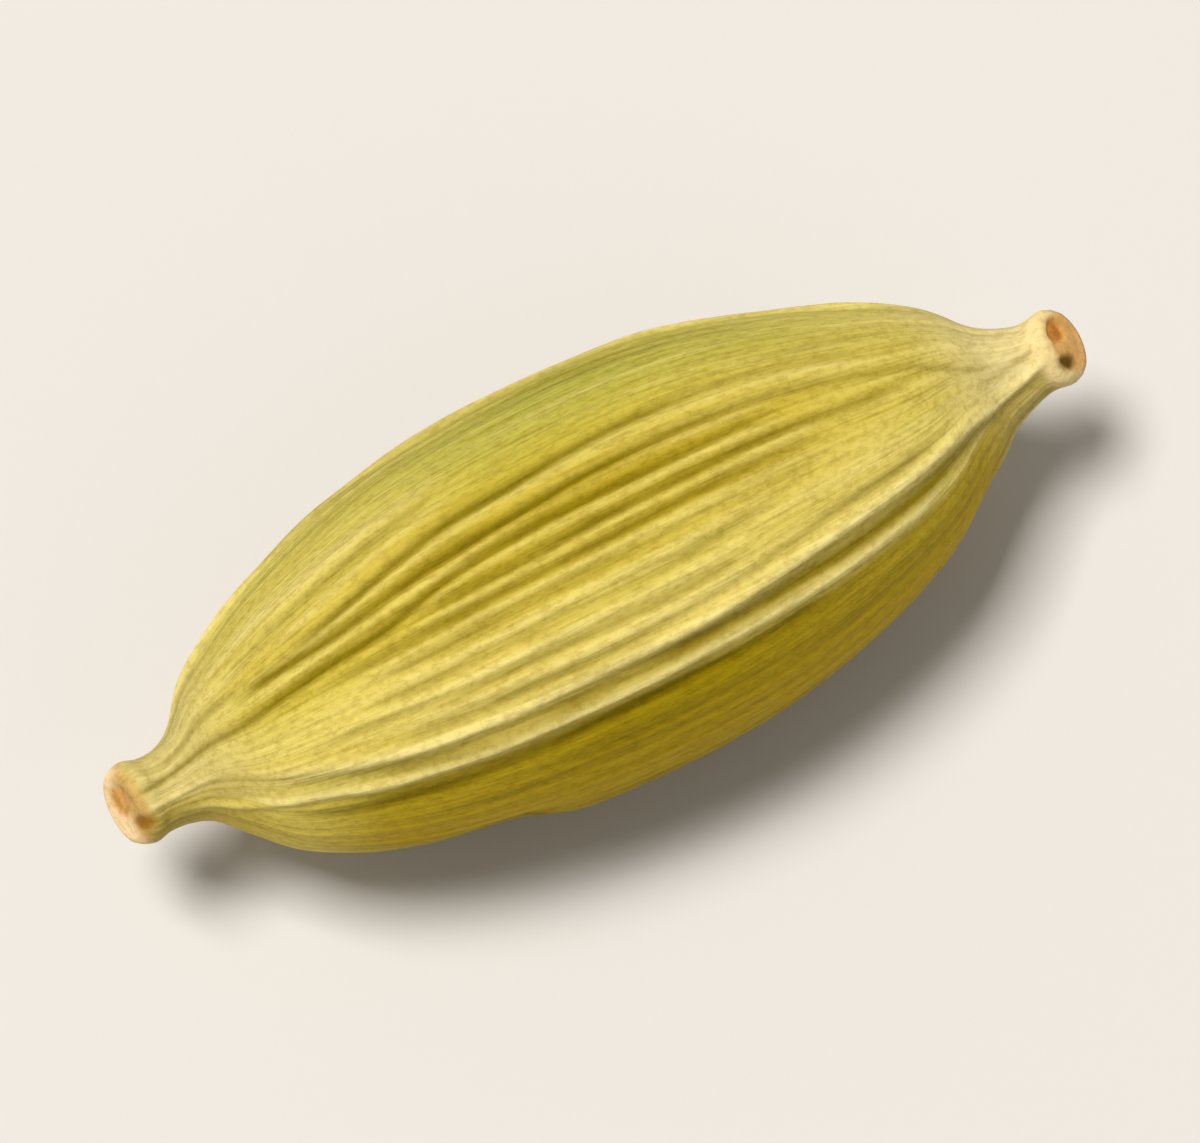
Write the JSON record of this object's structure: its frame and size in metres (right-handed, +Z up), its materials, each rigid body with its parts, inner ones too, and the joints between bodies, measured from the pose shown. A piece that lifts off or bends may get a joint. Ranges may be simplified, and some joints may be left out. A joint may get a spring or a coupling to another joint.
{
  "type": "green cardamom pod",
  "caption": "Whole dried green cardamom pod: a spindle-shaped capsule with ribbed valves, double-ribbed seams and a cupped stub at each end.",
  "frame": {"origin": "under the middle of the pod's box, at the height of the flat spot that it rests on", "axes": "+X along the pod, towards the end with the deeper hole in its stub; +Z up; -Y the near side, with the seam that shows"},
  "size_m": [0.0202, 0.0078, 0.0075],
  "materials": {
    "husk": "dry, fibrous yellow-green husk with a soft sheen"
  },
  "bodies": {
    "root": {"cardamom_pod": "husk"}
  },
  "joints": []
}
